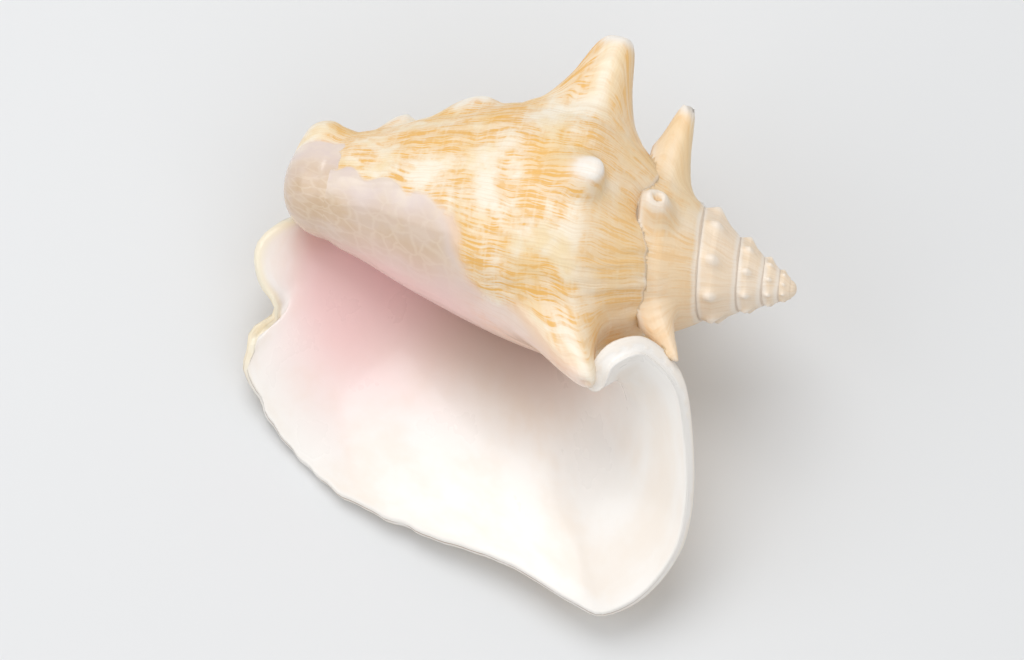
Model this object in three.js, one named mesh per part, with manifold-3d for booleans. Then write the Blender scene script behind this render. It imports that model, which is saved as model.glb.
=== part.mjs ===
// A large right-handed conch shell, grown as one body, lying on its back with the aperture up.
//
// The shell frame: the coiling axis is X, the tip of the spire is near x = 0 and the siphonal end is at
// negative x. The angle "turn" goes round the axis from +Z through +Y, which is the way the shell grows.
// Three solids are joined: the spire, the core with the columella, and the wall of the last whorl, which
// leaves the core as an open, flared lip. The joined shell is then laid down on its back.
import * as THREE from 'three';
import Module from 'manifold-3d';
import { mergeVertices } from 'three/addons/utils/BufferGeometryUtils.js';

const { cos, sin, exp, max, min, PI } = Math;

// Driving dimensions, in millimetres and degrees.
const VIRTUAL_APEX = 5;            // x where the spire's cone would end in a point
const WHORL_GROWTH = 1.53;         // size of a whorl over the one before it
const SUTURE_DISTANCE = 78;        // from the virtual apex to the last whorl's suture at +Y
const SPIRE_SLOPE = 0.5;           // suture radius over its distance from the virtual apex
const SPIRE_TURNS = 6.3;           // turns of the spire, up to the start of the last whorl
const WALL_START = -100;           // turn angle where the last whorl starts
const WALL_END = 205;              // turn angle where the last whorl leaves the core as the lip
const THROAT_SHUT = 108;           // turn angle at which the throat narrows to nothing
const THROAT_OPEN = 140;           // turn angle from which the throat has its full width
const ANTERIOR_X = -222.5;         // siphonal end of the columella
const NOSE_SHARE = 0.9;            // how far along the core its siphonal end starts to round off
const WALL_THICK = 4;              // wall of the last whorl
const LIP_THICK = 6.5;             // wall near the edge of the adult lip
const SKIN = 1.2;                  // how far the core stays under the wall that covers it

// How the finished shell lies on its back: turned about Y and then X of its own frame, in degrees.
const REST_TURN = { x: 22.95, y: -4.73 };
const WORN_DEPTH = 0.5;            // worn off the points that it rests on

const wasm = await Module();
wasm.setup();

const radians = (degrees) => (degrees * PI) / 180;
const mix = (a, b, t) => a + (b - a) * t;
const clamp = (t) => max(0, min(1, t));
const smooth = (a, b, t) => {
  const s = clamp((t - a) / (b - a));
  return s * s * (3 - 2 * s);
};
const bump = (distance, width) => exp(-((distance / width) ** 2));
const polar = (x, r, turn) => new THREE.Vector3(x, r * sin(radians(turn)), r * cos(radians(turn)));

// A smooth function through a few [t, value] points.
function through(points) {
  return (t) => {
    const last = points.length - 1;
    let i = points.findIndex(([key]) => key > t) - 1;
    if (t <= points[0][0]) return points[0][1];
    if (i < 0) return points[last][1];
    const slope = (k) => {
      const a = points[max(k - 1, 0)];
      const b = points[min(k + 1, last)];
      return (b[1] - a[1]) / (b[0] - a[0]);
    };
    const [t0, v0] = points[i];
    const [t1, v1] = points[i + 1];
    const span = t1 - t0;
    const s = (t - t0) / span;
    const h = s * s * (3 - 2 * s);
    return mix(v0, v1, h) + span * (slope(i) * (s - 2 * s * s + s ** 3) + slope(i + 1) * (s ** 3 - s * s));
  };
}

// ---- Meshes

// A closed solid from rows of points and faces, with coincident points joined.
function solid(positions, faces) {
  const raw = new THREE.BufferGeometry();
  raw.setAttribute('position', new THREE.Float32BufferAttribute(positions.flatMap((p) => [p.x, p.y, p.z]), 3));
  raw.setIndex(faces);
  const merged = mergeVertices(raw, 1e-3);
  const index = merged.index.array;
  const triVerts = [];
  for (let i = 0; i < index.length; i += 3) {
    const [a, b, c] = [index[i], index[i + 1], index[i + 2]];
    if (a !== b && b !== c && c !== a) triVerts.push(a, b, c);
  }
  const vertProperties = merged.attributes.position.array;
  const mesh = new wasm.Mesh({ numProp: 3, vertProperties, triVerts: new Uint32Array(triVerts) });
  const made = new wasm.Manifold(mesh);
  if (made.volume() > 0) return made;
  for (let i = 0; i < triVerts.length; i += 3) triVerts.splice(i, 2, triVerts[i + 1], triVerts[i]);
  return new wasm.Manifold(new wasm.Mesh({ numProp: 3, vertProperties, triVerts: new Uint32Array(triVerts) }));
}

// A sheet of points, columns[i][j], as faces; flip turns them round.
function sheetFaces(columns, first, flip = false) {
  const rows = columns[0].length;
  const faces = [];
  for (let i = 0; i + 1 < columns.length; i += 1) {
    for (let j = 0; j + 1 < rows; j += 1) {
      const a = first + i * rows + j;
      const quad = [a, a + rows, a + rows + 1, a, a + rows + 1, a + 1];
      faces.push(...(flip ? quad.reverse() : quad));
    }
  }
  return faces;
}

// ---- The spire: a helical band from suture to suture, closed to the axis below its last turn

const sutureDistance = (turns) => SUTURE_DISTANCE * WHORL_GROWTH ** turns;
const startTurns = (WALL_START - 90) / 360;

// Radius and distance of the spire's band: u runs from its own suture (0) to the next one (1).
function spireProfile(turns, u) {
  const upper = sutureDistance(turns);
  const lower = sutureDistance(turns + 1);
  const shoulder = 0.6;
  const distance = mix(upper, lower, u);
  const ramp = mix(upper * SPIRE_SLOPE, lower * SPIRE_SLOPE * 0.93, clamp(u / shoulder) ** 0.85);
  const below = mix(1, 1.07, smooth(shoulder, 1, u));
  return { distance, radius: ramp * below };
}

// The rounded knobs along the shoulder of the early whorls.
function knobs(turns, u) {
  const perTurn = 9;
  const phase = turns * perTurn;
  const early = 1 - smooth(-1.85, -1.6, turns);
  const height = 0.062 * sutureDistance(turns + 0.7);
  return early * height * bump(2 * sin(PI * phase) / PI, 0.34) * bump(u - 0.62, 0.24);
}

function spirePoint(turns, u) {
  const { distance, radius } = spireProfile(turns, u);
  return polar(VIRTUAL_APEX - distance, radius + knobs(turns, u), 90 + 360 * turns);
}

function spire() {
  const perTurn = 24;
  const bandRows = 6;
  const first = startTurns - SPIRE_TURNS + 1;
  const end = startTurns + 0.06;
  const count = Math.round((end - first) * perTurn);
  const sunk = (turns) => 1 - 0.05 * smooth(startTurns - 0.01, end, turns);
  const column = (i) => {
    const turns = end - (count - i) / perTurn;
    return Array.from({ length: bandRows + 1 }, (_, j) => {
      const p = spirePoint(turns, j / bandRows);
      return new THREE.Vector3(p.x, p.y * sunk(turns), p.z * sunk(turns));
    });
  };
  const columns = Array.from({ length: count + 1 }, (_, i) => column(i));
  // The next turn's first row lies on this turn's last row.
  columns.forEach((points, i) => {
    if (i + perTurn <= count) points[bandRows] = columns[i + perTurn][0];
  });
  const band = columns.flat();
  const faces = sheetFaces(columns, 0);
  // Close the tip of the spire and the foot of the last turn with fans to the axis.
  const rows = bandRows + 1;
  const tipLoop = [];
  for (let i = 0; i <= perTurn; i += 1) tipLoop.push(i * rows);
  for (let j = bandRows - 1; j > 0; j -= 1) tipLoop.push(j);
  const footLoop = [];
  for (let i = count - perTurn; i <= count; i += 1) footLoop.push(i * rows + bandRows);
  for (let j = bandRows - 1; j > 0; j -= 1) footLoop.push(count * rows + j);
  const tip = new THREE.Vector3(columns[0][0].x + 0.9, 0, 0);
  const foot = new THREE.Vector3(columns[count][bandRows].x - 4, 0, 0);
  const tipIndex = band.push(tip) - 1;
  const footIndex = band.push(foot) - 1;
  tipLoop.forEach((p, k) => faces.push(tipIndex, tipLoop[(k + 1) % tipLoop.length], p));
  footLoop.forEach((p, k) => faces.push(footIndex, p, footLoop[(k + 1) % footLoop.length]));
  return solid(band, faces);
}

// ---- The wall of the last whorl and its flared lip

// Suture, shoulder and siphonal margin of the last whorl at each turn angle.
const sutureX = through([[-100, -56], [0, -64], [90, -71.5], [180, -77], [205, -78]]);
const sutureR = (turn) => (VIRTUAL_APEX - sutureX(turn)) * SPIRE_SLOPE - 0.6;
const shoulderX = through([[-100, -78], [-90, -79], [0, -87], [90, -95], [180, -100], [205, -101]]);
const shoulderR = through([[-100, 48], [-90, 49], [0, 52.5], [90, 57], [180, 60], [205, 61]]);
const marginX = through([[90, -212], [140, -213], [205, -211]]);
const marginR = through([[90, 20], [140, 23], [205, 28]]);
const flank = through([[0, 1], [0.12, 0.992], [0.3, 0.915], [0.58, 0.71], [0.8, 0.51], [0.9, 0.45], [1, 0.37]]);
const SHOULDER_ROW = 0.2;

// A point of the last whorl's section: v runs from the suture (0) over the shoulder to the siphonal margin (1).
function sectionPoint(turn, v) {
  const xs = shoulderX(turn);
  const rs = shoulderR(turn);
  if (v < SHOULDER_ROW) {
    const s = v / SHOULDER_ROW;
    return polar(mix(sutureX(turn), xs, s), mix(sutureR(turn), rs, s ** 0.8), turn);
  }
  const q = (v - SHOULDER_ROW) / (1 - SHOULDER_ROW);
  const r = rs * flank(q) + (marginR(turn) - rs * flank(1)) * q * q;
  return polar(mix(xs, marginX(turn), q), r, turn);
}

// The outer face of the last whorl, whose shoulder rounds off as it nears the lip.
function whorlPoint(turn, v) {
  const soften = mix(0.02, 0.07, smooth(120, WALL_END, turn)) * smooth(0, 0.1, min(v, 1 - v));
  const [before, after] = [sectionPoint(turn, v - soften), sectionPoint(turn, v + soften)];
  return sectionPoint(turn, v).multiplyScalar(0.5).addScaledVector(before.add(after), 0.25);
}

// The lip's free edge, from its curl against the lower spine to the siphonal canal.
const LIP_EDGE = [
  [-69, -58, 40], [-68, -42, 44], [-54, -32, 38], [-36, -43, 27], [-27, -66, 17], [-21, -95, 10],
  [-22, -116, 6], [-33, -138, 2], [-49, -150, 0], [-62, -148, 0], [-90, -140, -3], [-130, -136, -7],
  [-165, -130, -11], [-194, -118, -16], [-216, -99, -16], [-227, -84, -12], [-226, -68, -9],
  [-217, -58, -11], [-229, -46, -10], [-233, -32, -10], [-226, -22, -16], [-213, -18, -24],
].map(([x, y, z]) => new THREE.Vector3(x, y, z));
const lipEdge = new THREE.CatmullRomCurve3(LIP_EDGE, false, 'centripetal');
// How far along the edge each row of the wall ends, and how the wall leaves the whorl and meets the edge.
const edgeShare = through([[0, 0], [0.1, 0.18], [0.22, 0.36], [0.5, 0.6], [0.8, 0.82], [1, 1]]);
const LEAVE_PULL = 95;
const FLARE_PULL = 55;

function lipPoint(s, v) {
  const step = 1;
  const start = whorlPoint(WALL_END, v);
  const leave = start.clone().sub(whorlPoint(WALL_END - step, v)).normalize();
  const end = lipEdge.getPointAt(clamp(edgeShare(v)));
  const pull = mix(0.45, 1, smooth(0, 0.3, v)) * mix(1, 0.35, smooth(0.7, 1, v));
  const flare = new THREE.Vector3(0, -0.95, 0.3).lerp(new THREE.Vector3(0.2, 0.1, 0.9), 1 - smooth(0, 0.25, v));
  flare.lerp(new THREE.Vector3(-0.9, -0.2, 0.3), smooth(0.75, 1, v)).normalize();
  const h = s * s * (3 - 2 * s);
  return start.multiplyScalar(1 - h)
    .addScaledVector(end, h)
    .addScaledVector(leave, LEAVE_PULL * pull * (s - 2 * s * s + s ** 3))
    .addScaledVector(flare, FLARE_PULL * pull * (s ** 3 - s * s));
}

// The whole wall: s runs from the start of the last whorl (0), over the end of the coil (1), to the
// lip's edge (2).
function wallPoint(s, v) {
  if (s <= 1) return whorlPoint(mix(WALL_START, WALL_END, s), v);
  return lipPoint(s - 1, v);
}

function wallNormal(s, v) {
  const d = 0.01;
  const [s0, s1, v0, v1] = [max(0, s - d), min(2, s + d), max(0, v - d), min(1, v + d)];
  const along = wallPoint(s1, v).sub(wallPoint(s0, v));
  const down = wallPoint(s, v1).sub(wallPoint(s, v0));
  return along.cross(down).normalize();
}

// Rows of the wall crowd toward the suture, where the lip's edge is longest.
const rowShare = through([[0, 0], [0.38, 0.2], [1, 1]]);

function wall() {
  const coilColumns = 28;
  const lipColumns = 16;
  const rowCount = 28;
  const stations = [];
  for (let i = 0; i < coilColumns; i += 1) stations.push(i / coilColumns);
  for (let i = 0; i < lipColumns; i += 1) stations.push(1 + i / lipColumns);
  stations.push(1.985, 2);
  const last = stations.length - 1;
  const outer = [];
  const inner = [];
  stations.forEach((s, i) => {
    const thick = mix(WALL_THICK, LIP_THICK, smooth(1.2, 1.85, s));
    const rim = i === 0 || i === last ? 0.25 : 1;
    const column = { out: [], in: [] };
    for (let j = 0; j <= rowCount; j += 1) {
      const v = rowShare(j / rowCount);
      const normal = wallNormal(s, v);
      const point = wallPoint(s, v);
      const sink = 2.2 * (1 - smooth(0, 0.06, s));
      const edge = rim * (j === 0 || j === rowCount ? 0.3 : 1);
      column.out.push(point.clone().addScaledVector(normal, -sink - thick * (1 - edge) / 2));
      column.in.push(point.clone().addScaledVector(normal, -sink - thick * (1 + edge) / 2));
    }
    outer.push(column.out);
    inner.push(column.in);
  });
  const rows = rowCount + 1;
  const innerFirst = outer.length * rows;
  const faces = [...sheetFaces(outer, 0), ...sheetFaces(inner, innerFirst, true)];
  const join = (a, b) => faces.push(a, b + innerFirst, b, a, a + innerFirst, b + innerFirst);
  for (let i = 0; i < last; i += 1) {
    join(i * rows, (i + 1) * rows);
    join((i + 1) * rows + rowCount, i * rows + rowCount);
  }
  for (let j = 0; j < rowCount; j += 1) {
    join(j + 1, j);
    join(last * rows + j, last * rows + j + 1);
  }
  return solid([...outer.flat(), ...inner.flat()], faces);
}

// ---- The core: filled under the first half of the last whorl, and the columella behind the throat

function coreRadius(turn, q) {
  const wrapped = turn > 260 ? turn - 360 : turn;
  const full = (at) => {
    const rs = shoulderR(at);
    return rs * flank(q) + (marginR(at) - rs * flank(1)) * q * q - SKIN;
  };
  const parietal = 38 * (0.3 + 0.7 * (1 - q) ** 1.6);
  if (wrapped <= THROAT_SHUT) return full(max(wrapped, WALL_START));
  const shut = 1 - smooth(THROAT_SHUT, THROAT_OPEN, wrapped);
  const grown = smooth(175, 260, wrapped);
  return mix(mix(parietal, full(WALL_START), grown), full(THROAT_SHUT), shut);
}

// Where the core's shoulder lies at each turn angle.
const coreStart = through([[-100, -79], [0, -87], [90, -95], [180, -100], [215, -100], [260, -79]]);

function core() {
  const around = 36;
  const along = 15;
  const noseRings = 5;
  const columns = [];
  for (let i = 0; i <= around; i += 1) {
    const turn = WALL_START + (360 * (i % around)) / around;
    const x = (q) => mix(coreStart(turn), -214, q);
    const column = [new THREE.Vector3(-48, 0, 0), polar(-56, 26, turn)];
    for (let j = 0; j <= along; j += 1) {
      const q = (NOSE_SHARE * j) / along;
      column.push(polar(x(q), coreRadius(turn, q), turn));
    }
    for (let k = 1; k < noseRings; k += 1) {
      const rounded = (PI / 2) * (k / noseRings);
      const r = coreRadius(turn, NOSE_SHARE) * cos(rounded) ** 0.8;
      column.push(polar(mix(x(NOSE_SHARE), ANTERIOR_X, sin(rounded)), r, turn));
    }
    column.push(new THREE.Vector3(ANTERIOR_X, 0, 0));
    columns.push(column);
  }
  return solid(columns.flat(), sheetFaces(columns, 0));
}

// ---- Spines: blunt cones that lean toward the tip of the spire

// One spine, from the middle of its foot to its tip, with the radii of both and how deep its root goes.
function spine({ from, to, foot, tip, root }) {
  const length = from.distanceTo(to);
  const profile = [
    [0, -root], [foot * 1.25, -root], [foot, 0], [mix(foot, tip, 0.6), length * 0.42],
    [tip * 1.08, length * 0.86], [tip * 0.72, length * 0.975], [0, length],
  ].map(([r, h]) => new THREE.Vector2(r, h));
  const shape = new THREE.LatheGeometry(profile, 10);
  const along = to.clone().sub(from).normalize();
  const lean = new THREE.Quaternion().setFromUnitVectors(new THREE.Vector3(0, 1, 0), along);
  shape.applyQuaternion(lean).translate(from.x, from.y, from.z);
  return solidOf(shape);
}

// A spine that stands straight out from the axis at one turn angle.
const radialSpine = ([turn, footX, footR, tipX, tipR, foot, tip]) => (
  { from: polar(footX, footR, turn), to: polar(tipX, tipR, turn), foot, tip, root: 6 });

// A spine on the back of the lip.
function lipSpine(s, v, height, foot, tip) {
  const from = wallPoint(s, v);
  const to = from.clone().addScaledVector(wallNormal(s, v), height).add(new THREE.Vector3(0.3 * height, 0, 0));
  return { from, to, foot, tip, root: 2 };
}

const SPINES = [
  // Last whorl: turn angle, foot x and radius, tip x and radius, radius of the foot and of the tip
  radialSpine([-48, -88, 46, -70, 76, 13, 4.5]),
  radialSpine([27, -92, 50, -84, 62, 12, 7.5]),
  radialSpine([90, -99, 52, -95, 88, 16, 6]),
  radialSpine([168, -106, 54, -106, 80, 15, 6]),
  lipSpine(1.3, 0.17, 15, 13, 6),
  // The whorl before it
  radialSpine([-50, -52, 31, -36, 58, 7, 2.6]),
  radialSpine([31, -60, 33, -60, 46, 7.5, 4.2]),
  radialSpine([88, -62, 35, -60, 66, 8.5, 3]),
  radialSpine([150, -66, 35, -52, 58, 8, 3]),
  radialSpine([218, -69, 37, -56, 58, 8, 3.2]),
];

// ---- The finished shell

// A three.js geometry of a manifold solid, and back.
function geometryOf(made) {
  const mesh = made.getMesh();
  const geometry = new THREE.BufferGeometry();
  geometry.setAttribute('position', new THREE.BufferAttribute(mesh.vertProperties, 3));
  geometry.setIndex(new THREE.BufferAttribute(mesh.triVerts, 1));
  return geometry;
}

function solidOf(geometry) {
  const position = geometry.attributes.position;
  const point = (i) => new THREE.Vector3().fromBufferAttribute(position, i);
  const points = Array.from({ length: position.count }, (_, i) => point(i));
  return solid(points, [...geometry.index.array]);
}

// Turned onto its back, with the middle of its foot print at the origin and small worn flats at z = 0.
function laidDown(geometry) {
  const turn = new THREE.Euler(radians(REST_TURN.x), radians(REST_TURN.y), 0, 'XYZ');
  geometry.applyQuaternion(new THREE.Quaternion().setFromEuler(turn));
  geometry.computeBoundingBox();
  const middle = geometry.boundingBox.getCenter(new THREE.Vector3());
  geometry.translate(-middle.x, -middle.y, -geometry.boundingBox.min.z - WORN_DEPTH);
  const slab = new THREE.BoxGeometry(600, 600, 20);
  slab.translate(0, 0, -10);
  const worn = geometryOf(solidOf(geometry).subtract(solidOf(slab)));
  worn.computeVertexNormals();
  return worn;
}

function shellGeometry() {
  let made = core().add(spire()).add(wall());
  SPINES.forEach((one) => {
    made = made.add(spine(one));
  });
  // Pockets shut in between the joined solids are filled: only the outer skin is kept.
  const body = made.decompose().reduce((a, b) => (a.volume() > b.volume() ? a : b));
  return laidDown(geometryOf(body));
}

const conch = new THREE.Group();
const material = new THREE.MeshStandardMaterial({ color: 0xf1e3cf, roughness: 0.35, metalness: 0 });
const shell = new THREE.Mesh(shellGeometry(), material);
shell.name = 'conch_shell';
conch.add(shell);

export default conch;
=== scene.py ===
"""A large right-handed conch shell, lying on its back with its aperture up.

The shell is one grown piece. It is worked out in its own frame, in millimetres: the coiling axis is X, with
the tip of the spire near x = 0 and the siphonal end at negative x. The angle "turn" goes round the axis
from +Z through +Y, in degrees, which is the way the shell grows. The finished shell is turned onto its
back, set down in the frame's box and put in metres.
"""

import logging
import math
from dataclasses import dataclass, field
from enum import Enum
from typing import Callable

import bpy
import numpy as np
from mathutils import Matrix, Vector, kdtree


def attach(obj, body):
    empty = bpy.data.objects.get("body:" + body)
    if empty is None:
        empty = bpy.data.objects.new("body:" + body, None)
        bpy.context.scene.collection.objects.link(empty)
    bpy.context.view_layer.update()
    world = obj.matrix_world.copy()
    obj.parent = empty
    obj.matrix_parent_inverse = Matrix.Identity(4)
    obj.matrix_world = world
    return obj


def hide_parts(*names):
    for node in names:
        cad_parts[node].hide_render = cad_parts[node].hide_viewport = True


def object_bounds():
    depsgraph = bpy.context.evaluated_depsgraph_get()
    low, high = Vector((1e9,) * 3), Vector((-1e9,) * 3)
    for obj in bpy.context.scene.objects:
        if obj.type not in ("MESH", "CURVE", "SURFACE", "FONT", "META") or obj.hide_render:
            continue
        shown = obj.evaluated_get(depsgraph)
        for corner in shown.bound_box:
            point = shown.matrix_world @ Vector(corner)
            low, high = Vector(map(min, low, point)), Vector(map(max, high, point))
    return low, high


Array = np.ndarray
Socket = bpy.types.NodeSocket
Outputs = bpy.types.bpy_prop_collection
Value = Socket | float | tuple[float, float, float]
log = logging.getLogger("conch")
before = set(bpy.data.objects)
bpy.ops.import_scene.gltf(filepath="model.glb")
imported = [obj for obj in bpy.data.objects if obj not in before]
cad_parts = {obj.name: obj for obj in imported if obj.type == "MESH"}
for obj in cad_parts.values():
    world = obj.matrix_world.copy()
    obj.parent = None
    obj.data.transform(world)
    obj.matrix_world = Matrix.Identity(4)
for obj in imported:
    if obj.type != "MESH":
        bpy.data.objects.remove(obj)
CAD_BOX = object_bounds()

MM = 0.001
FAR = 40.0  # mark of a point that is nowhere near a seam, an edge or the glaze, in millimetres
WALL_GROWTH = 290.0  # growth mark at the end of the coil, where the lip starts
LIP_GROWTH = 100.0  # growth of the lip, from the coil to its free edge
ACROSS = 165.0  # across mark at the siphonal margin


# ---- Small mathematics


def mix(a: Array, b: Array, t: Array) -> Array:
    """Returns the blend of a and b, a at t = 0 and b at t = 1."""
    return a + (b - a) * t


def smooth(a: float, b: float, t: Array) -> Array:
    """Returns 0 before a and 1 after b, with a soft step between."""
    s = np.clip((t - a) / (b - a), 0.0, 1.0)
    return s * s * (3.0 - 2.0 * s)


def bump(distance: Array, width: float) -> Array:
    """Returns a bell that is 1 at distance 0 and falls off over the width."""
    return np.exp(-((distance / width) ** 2))


def polar(x: Array, r: Array, turn: Array) -> Array:
    """Returns points at x along the axis, r from it and turned round it by the angle in degrees."""
    angle = np.radians(turn)
    return np.stack(np.broadcast_arrays(x, r * np.sin(angle), r * np.cos(angle)), axis=-1)


def unit(vectors: Array) -> Array:
    """Returns the vectors at length one."""
    return vectors / np.maximum(np.linalg.norm(vectors, axis=-1, keepdims=True), 1e-9)


@dataclass(frozen=True)
class Curve:
    """A smooth function through a few (place, value) points, level beyond its ends."""

    points: tuple[tuple[float, float], ...]

    def __call__(self, t: Array) -> Array:
        """Returns the curve's values.

        Args:
            t: Places along the curve.

        Returns:
            One value for each place.
        """
        keys, values = np.array(self.points, dtype=float).T
        last = len(keys) - 1
        before = np.maximum(np.arange(last + 1) - 1, 0)
        after = np.minimum(np.arange(last + 1) + 1, last)
        slopes = (values[after] - values[before]) / (keys[after] - keys[before])
        t = np.clip(np.asarray(t, dtype=float), keys[0], keys[-1])
        i = np.clip(np.searchsorted(keys, t, side="right") - 1, 0, last - 1)
        span = keys[i + 1] - keys[i]
        s = (t - keys[i]) / span
        level = mix(values[i], values[i + 1], s * s * (3.0 - 2.0 * s))
        bend = slopes[i] * (s - 2.0 * s**2 + s**3) + slopes[i + 1] * (s**3 - s**2)
        return level + span * bend


def noise(points: Array, scale: float, seed: int) -> Array:
    """Returns a smooth wandering value between about -1 and 1.

    Args:
        points: Places, in millimetres.
        scale: Size of one wander, in millimetres.
        seed: Which of the endless patterns to use.

    Returns:
        One value for each place.
    """
    random = np.random.default_rng(seed)
    total = np.zeros(points.shape[:-1])
    for _ in range(7):
        direction = unit(random.normal(size=3)) * random.uniform(0.6, 1.5)
        total += np.sin(points @ direction * (2.0 * math.pi / scale) + random.uniform(0, 2 * math.pi))
    return total / 3.5


# ---- The coil's sizes


@dataclass(frozen=True)
class Coil:
    """The driving sizes of the whole shell, in millimetres and degrees."""

    virtual_apex: float = 5.0
    growth: float = 1.53
    suture_distance: float = 78.0
    spire_slope: float = 0.5
    spire_turns: float = 6.3
    wall_start: float = -100.0
    wall_end: float = 205.0
    throat_shut: float = 108.0
    throat_open: float = 140.0
    anterior_x: float = -222.5
    lay_x: float = 22.95
    lay_y: float = -4.73

    @property
    def start_turns(self) -> float:
        """Whole turns, from the suture at +Y, at which the last whorl starts."""
        return (self.wall_start - 90.0) / 360.0

    def suture(self, turns: Array) -> Array:
        """Returns the distance of the suture from the virtual apex."""
        return self.suture_distance * self.growth**turns

    def rotation(self) -> Matrix:
        """Returns the turn that lays the shell on its back."""
        onto_side = Matrix.Rotation(math.radians(self.lay_x), 3, "X")
        return onto_side @ Matrix.Rotation(math.radians(self.lay_y), 3, "Y")


COIL = Coil()


# ---- Marks: what each point of the surface knows about itself
#
# growth: millimetres along the way of growth, negative on the spire
# across: millimetres from the suture toward the siphonal end
# inner:  1 on the inside of the aperture
# edge:   millimetres from a free edge
# worn: 1 on a worn tip, -1 in the hollow of a broken one, coloured dark brown there as painted shade, partly
# the pit's own brown
# seam:   millimetres from a suture
# callus: millimetres in from the edge of the glaze, negative outside it


MARKS = ("growth", "across", "inner", "edge", "worn", "seam", "callus")


def marks_of(count: int, **given: Array) -> Array:
    """Sets out the marks of a surface's points.

    Args:
        count: How many points there are.
        given: Values by the name of the mark. A mark that isn't given is 0.

    Returns:
        One row of marks for each point.
    """
    marks = np.zeros((count, len(MARKS)))
    for name, values in given.items():
        marks[:, MARKS.index(name)] = values
    return marks


@dataclass
class Surface:
    """A finished part of the shell's skin: its Blender object, its points in millimetres and their marks."""

    thing: bpy.types.Object
    points: Array
    marks: Array


# ---- Mesh work


def deselect() -> None:
    """Leaves object mode with nothing selected."""
    if bpy.context.object and bpy.context.object.mode != "OBJECT":
        bpy.ops.object.mode_set(mode="OBJECT")
    bpy.ops.object.select_all(action="DESELECT")


def choose(thing: bpy.types.Object) -> None:
    """Selects one object and makes it the active one.

    Args:
        thing: The object.
    """
    deselect()
    thing.select_set(True)
    bpy.context.view_layer.objects.active = thing


def sheet(name: str, columns: int, rows: int) -> tuple[bpy.types.Object, Array, Array]:
    """Adds a grid to be shaped.

    Args:
        name: Name of the object.
        columns: Faces along the first direction.
        rows: Faces along the second direction.

    Returns:
        The object, and for each of its points the number of its column and of its row.
    """
    deselect()
    bpy.ops.mesh.primitive_grid_add(x_subdivisions=columns, y_subdivisions=rows, size=2.0)
    thing = bpy.context.object
    thing.name = name
    flat = np.zeros(len(thing.data.vertices) * 3)
    thing.data.vertices.foreach_get("co", flat)
    places = (flat.reshape(-1, 3) + 1.0) / 2.0
    return thing, np.rint(places[:, 0] * columns).astype(int), np.rint(places[:, 1] * rows).astype(int)


def shape(thing: bpy.types.Object, points: Array) -> None:
    """Moves an object's points to the given places."""
    thing.data.vertices.foreach_set("co", points.astype(np.float32).ravel())
    thing.data.update()


def points_of(thing: bpy.types.Object) -> Array:
    """Reads the places of an object's points.

    Args:
        thing: The object.

    Returns:
        One row for each point.
    """
    flat = np.zeros(len(thing.data.vertices) * 3)
    thing.data.vertices.foreach_get("co", flat)
    return flat.reshape(-1, 3)


def weld(thing: bpy.types.Object, distance: float = 1e-4) -> None:
    """Joins the points that lie on each other and turns the faces outwards.

    Args:
        thing: The mesh.
        distance: How near two points are to be joined, in the mesh's unit.
    """
    choose(thing)
    bpy.ops.object.mode_set(mode="EDIT")
    bpy.ops.mesh.select_all(action="SELECT")
    bpy.ops.mesh.remove_doubles(threshold=distance)
    bpy.ops.mesh.normals_make_consistent(inside=False)
    bpy.ops.object.mode_set(mode="OBJECT")


def cap(thing: bpy.types.Object, near: Callable[[Vector], bool], top: Vector) -> None:
    """Closes one open loop of a mesh with a fan.

    Args:
        thing: The mesh.
        near: Says whether a point of an open edge belongs to the loop.
        top: Where the fan comes together.
    """
    choose(thing)
    bpy.ops.object.mode_set(mode="EDIT")
    bpy.ops.mesh.select_mode(type="EDGE")
    bpy.ops.mesh.select_all(action="DESELECT")
    bpy.ops.mesh.select_non_manifold(
        extend=False, use_wire=False, use_multi_face=False, use_non_contiguous=False
    )
    bpy.ops.object.mode_set(mode="OBJECT")
    mesh = thing.data
    for edge in mesh.edges:
        if edge.select and not all(near(mesh.vertices[i].co) for i in edge.vertices):
            edge.select = False
    for vertex in mesh.vertices:
        vertex.select = False
    for edge in mesh.edges:
        if edge.select:
            for i in edge.vertices:
                mesh.vertices[i].select = True
    bpy.ops.object.mode_set(mode="EDIT")
    bpy.ops.mesh.extrude_region()
    bpy.ops.mesh.merge(type="CENTER")
    bpy.ops.object.mode_set(mode="OBJECT")
    for vertex in mesh.vertices:
        if vertex.select:
            vertex.co = top


def join(first: bpy.types.Object, second: bpy.types.Object) -> None:
    """Puts one object's mesh into another.

    Args:
        first: The object that stays.
        second: The object whose mesh moves over.
    """
    choose(first)
    second.select_set(True)
    bpy.ops.object.join()


def unite(thing: bpy.types.Object, tool: bpy.types.Object) -> None:
    """Makes one skin of two closed solids.

    Args:
        thing: The solid that stays.
        tool: The solid that is added to it and goes.
    """
    choose(thing)
    cut = thing.modifiers.new("union", "BOOLEAN")
    cut.operation = "UNION"
    cut.solver = "MANIFOLD"
    cut.object = tool
    bpy.ops.object.modifier_apply(modifier=cut.name)
    bpy.data.objects.remove(tool)


def largest_skin(thing: bpy.types.Object) -> bpy.types.Object:
    """Keeps the outer skin of a mesh and drops the pockets shut in behind it.

    Args:
        thing: The mesh.

    Returns:
        The object that holds the outer skin.
    """
    choose(thing)
    bpy.ops.object.mode_set(mode="EDIT")
    bpy.ops.mesh.select_all(action="SELECT")
    bpy.ops.mesh.separate(type="LOOSE")
    bpy.ops.object.mode_set(mode="OBJECT")
    skins = sorted(bpy.context.selected_objects, key=lambda part: len(part.data.vertices))
    for part in skins[:-1]:
        bpy.data.objects.remove(part)
    return skins[-1]


# ---- Thorns


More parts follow.
